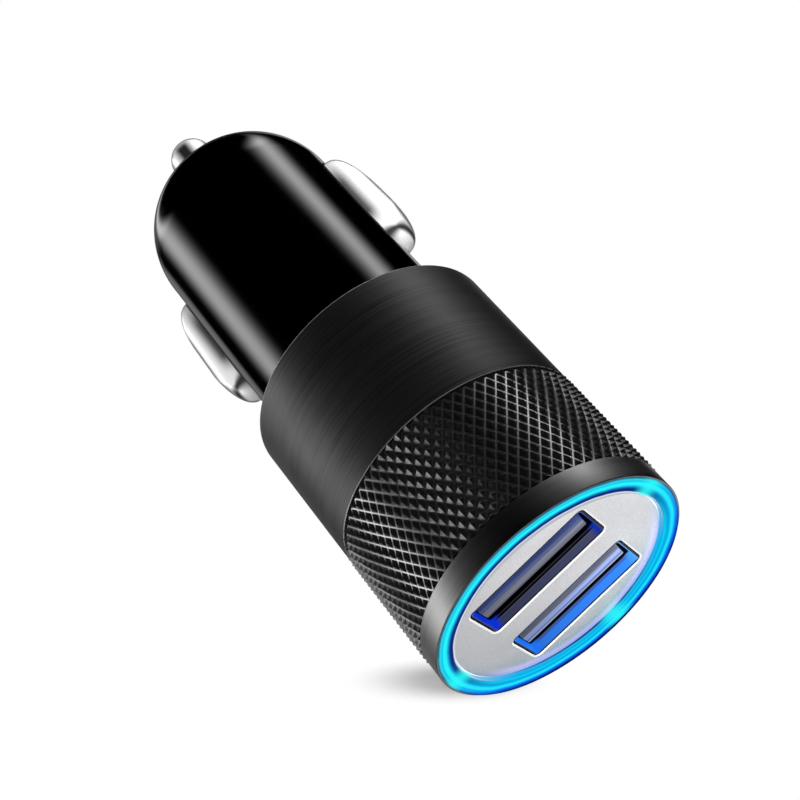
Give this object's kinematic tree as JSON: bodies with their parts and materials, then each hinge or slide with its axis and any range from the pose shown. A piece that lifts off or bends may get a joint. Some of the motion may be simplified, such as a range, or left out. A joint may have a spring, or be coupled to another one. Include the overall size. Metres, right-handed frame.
{
  "type": "car usb charger plug",
  "caption": "Round car charger plug with a knurled metal sleeve, glowing ring, USB sockets in the face, black barrel, sprung tip and side wings.",
  "frame": {"origin": "middle of the light ring's crest, on the plane that the charger stands on", "axes": "+Z from the face with the USB sockets to the tip of the centre contact; X along the long sides of the sockets, through both ground wings; Y across the two sockets"},
  "size_m": [0.0264, 0.0264, 0.0714],
  "materials": {
    "black_aluminium": "black anodised, fine turned lines, cut knurl",
    "ring_glow": "clear blue glowing light guide",
    "satin_silver": "satin",
    "black_plastic": "matte moulded",
    "gloss_black": "polished black moulding",
    "shell_metal": "plated sheet",
    "insert_plastic": "moulded insulator",
    "gold_contact": "gold plated strip",
    "board_green": "circuit board with solder mask",
    "lamp_white": "small lamp body",
    "ferrite": "sintered ferrite",
    "copper_wire": "enamelled copper wire",
    "can_metal": "drawn can",
    "chip_black": "moulded package",
    "ceramic": "ceramic body",
    "brass": "plain turned",
    "spring_steel": "drawn wire",
    "chrome": "bright plated"
  },
  "bodies": {
    "housing": {"sleeve": "black_aluminium", "light_ring": "ring_glow", "face_plate": "satin_silver", "front_cap": "black_plastic", "barrel_housing": "gloss_black", "usb_shell_1": "shell_metal", "usb_shell_2": "shell_metal", "usb_insert_1": "insert_plastic", "usb_insert_2": "insert_plastic", "usb_contacts_1": "gold_contact", "usb_contacts_2": "gold_contact", "port_board": "board_green", "main_board": "board_green", "ring_led_1": "lamp_white", "ring_led_2": "lamp_white", "inductor_core": "ferrite", "inductor_winding": "copper_wire", "input_capacitor": "can_metal", "output_capacitor": "can_metal", "regulator_chip": "chip_black", "rectifier_diode": "chip_black", "fuse": "ceramic", "spring_seat": "brass", "centre_spring": "spring_steel"},
    "centre_pin": {"centre_contact": "chrome"},
    "wing_left": {"ground_wing_1": "chrome"},
    "wing_right": {"ground_wing_2": "chrome"}
  },
  "joints": [
    {"name": "contact_press", "type": "slide", "parent": "housing", "child": "centre_pin", "axis": [0, 0, -1], "range_m": [0, 0.004], "stiffness_N_per_m": 600, "springref_m": -0.003, "deforming": ["centre_spring"]},
    {"name": "wing_left_press", "type": "hinge", "parent": "housing", "child": "wing_left", "pos_m": [-0.00809, 0, 0.0551], "axis": [0, -1, 0], "range_deg": [0, 11], "stiffness_Nm_per_rad": 0.1, "springref_deg": -5.73},
    {"name": "wing_right_press", "type": "hinge", "parent": "housing", "child": "wing_right", "pos_m": [0.00809, 0, 0.0551], "axis": [0, 1, 0], "range_deg": [0, 11], "stiffness_Nm_per_rad": 0.1, "springref_deg": -5.73}
  ]
}
